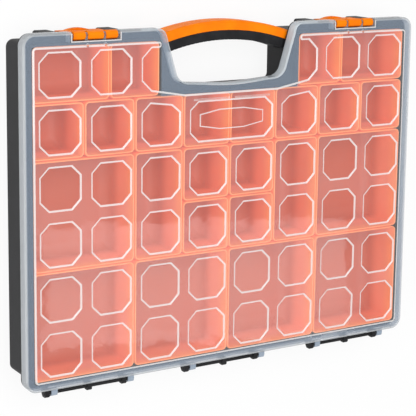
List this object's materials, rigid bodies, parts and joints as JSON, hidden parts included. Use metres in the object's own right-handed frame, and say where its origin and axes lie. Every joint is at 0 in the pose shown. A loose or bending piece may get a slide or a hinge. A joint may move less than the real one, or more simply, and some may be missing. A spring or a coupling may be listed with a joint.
{
  "type": "small parts organizer",
  "caption": "Flat carry case for small parts: translucent hinged lid with side latches, black tray with a carry handle, and loose orange bins of several sizes that lift out.",
  "frame": {"origin": "middle of the case's length and width, on the underside that it rests on", "axes": "+X along the long side, +Y from the hinge towards the handle, +Z out of the lid"},
  "size_m": [0.418, 0.3303, 0.055],
  "materials": {
    "tray_black": "fine-grained moulded black",
    "lid_clear": "frosted translucent, clearer in the windows",
    "bin_orange": "satin moulded orange",
    "latch_orange": "satin orange",
    "grip_black": "grooved matte black"
  },
  "bodies": {
    "base": {"base_tray": "tray_black", "handle_shell": "latch_orange", "handle_grip": "grip_black", "bin_small_01": "bin_orange", "bin_small_02": "bin_orange", "bin_small_03": "bin_orange", "bin_small_04": "bin_orange", "bin_small_05": "bin_orange", "bin_small_06": "bin_orange", "bin_small_07": "bin_orange", "bin_small_08": "bin_orange", "bin_small_09": "bin_orange", "bin_small_10": "bin_orange", "bin_small_11": "bin_orange", "bin_small_12": "bin_orange", "bin_small_13": "bin_orange", "bin_small_14": "bin_orange", "bin_wide_01": "bin_orange", "bin_wide_02": "bin_orange", "bin_tall_01": "bin_orange", "bin_tall_02": "bin_orange", "bin_large_01": "bin_orange", "bin_large_02": "bin_orange", "bin_large_03": "bin_orange", "bin_large_04": "bin_orange", "bin_large_05": "bin_orange", "bin_large_06": "bin_orange"},
    "lid": {"lid": "lid_clear"},
    "latch_left": {"latch_left": "latch_orange"},
    "latch_right": {"latch_right": "latch_orange"}
  },
  "joints": [
    {"name": "lid_hinge", "type": "hinge", "parent": "base", "child": "lid", "pos_m": [0, -0.16135, 0.0445], "axis": [1, 0, 0], "range_deg": [0, 180]},
    {"name": "latch_left_hinge", "type": "hinge", "parent": "lid", "child": "latch_left", "pos_m": [-0.1395, 0.15865, 0.05], "axis": [1, 0, 0], "range_deg": [0, 110]},
    {"name": "latch_right_hinge", "type": "hinge", "parent": "lid", "child": "latch_right", "pos_m": [0.1395, 0.15865, 0.05], "axis": [1, 0, 0], "range_deg": [0, 110]}
  ]
}
